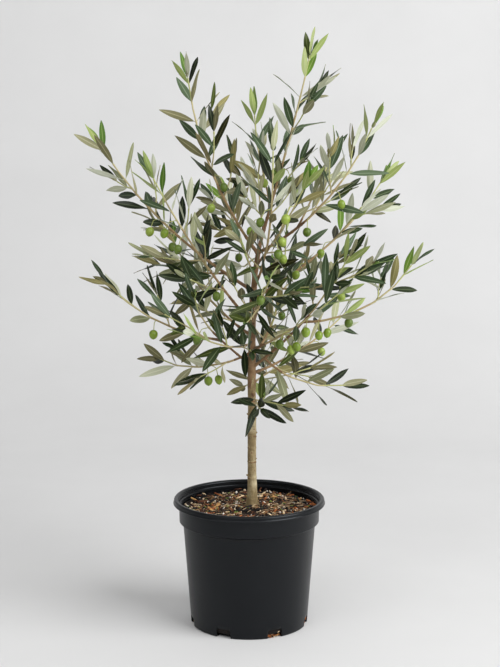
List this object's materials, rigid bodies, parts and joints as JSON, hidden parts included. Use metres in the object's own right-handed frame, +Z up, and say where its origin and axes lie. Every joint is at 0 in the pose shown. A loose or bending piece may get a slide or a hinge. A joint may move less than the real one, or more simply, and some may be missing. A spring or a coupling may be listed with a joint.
{
  "type": "potted olive tree",
  "caption": "Young olive tree: a slim trunk and spreading boughs with narrow paired leaves and small green fruit, growing in a round tapered nursery pot.",
  "frame": {"origin": "centre of the flat underside of the pot", "axes": "+Z up the trunk, +X to the right and -Y towards the viewer of the front"},
  "size_m": [0.5572, 0.4986, 0.9356],
  "materials": {
    "black_plastic": "satin",
    "potting_mix": "matte",
    "bark": "matte",
    "olive_foliage": "matte"
  },
  "bodies": {
    "root": {"pot": "black_plastic", "soil": "potting_mix", "trunk": "bark", "bough_leader_right": "bark", "bough_leader_left": "bark", "bough_right_upper": "bark", "bough_leader_middle": "bark", "bough_middle_top": "bark", "bough_right_inner": "bark", "bough_left_upper": "bark", "bough_left_side": "bark", "bough_left_middle": "bark", "bough_right_middle": "bark", "bough_left_low": "bark", "bough_left_low_outer": "bark", "bough_left_lowest": "bark", "bough_right_low": "bark", "bough_right_low_outer": "bark", "bough_right_lowest": "bark", "bough_front_low": "bark", "bough_right_back": "bark", "bough_right_front": "bark", "bough_right_side": "bark", "bough_front_right": "bark", "bough_front_left": "bark", "bough_front_middle": "bark", "bough_back_lowest": "bark", "bough_back_left": "bark", "bough_back_middle": "bark", "bough_back_upper": "bark", "bough_front_upper": "bark", "foliage_leader_right": "olive_foliage", "foliage_leader_left": "olive_foliage", "foliage_right_upper": "olive_foliage", "foliage_leader_middle": "olive_foliage", "foliage_middle_top": "olive_foliage", "foliage_right_inner": "olive_foliage", "foliage_left_upper": "olive_foliage", "foliage_left_side": "olive_foliage", "foliage_left_middle": "olive_foliage", "foliage_right_middle": "olive_foliage", "foliage_left_low": "olive_foliage", "foliage_left_low_outer": "olive_foliage", "foliage_left_lowest": "olive_foliage", "foliage_right_low": "olive_foliage", "foliage_right_low_outer": "olive_foliage", "foliage_right_lowest": "olive_foliage", "foliage_front_low": "olive_foliage", "foliage_right_back": "olive_foliage", "foliage_right_front": "olive_foliage", "foliage_right_side": "olive_foliage", "foliage_front_right": "olive_foliage", "foliage_front_left": "olive_foliage", "foliage_front_middle": "olive_foliage", "foliage_back_lowest": "olive_foliage", "foliage_back_left": "olive_foliage", "foliage_back_middle": "olive_foliage", "foliage_back_upper": "olive_foliage", "foliage_front_upper": "olive_foliage"}
  },
  "joints": []
}
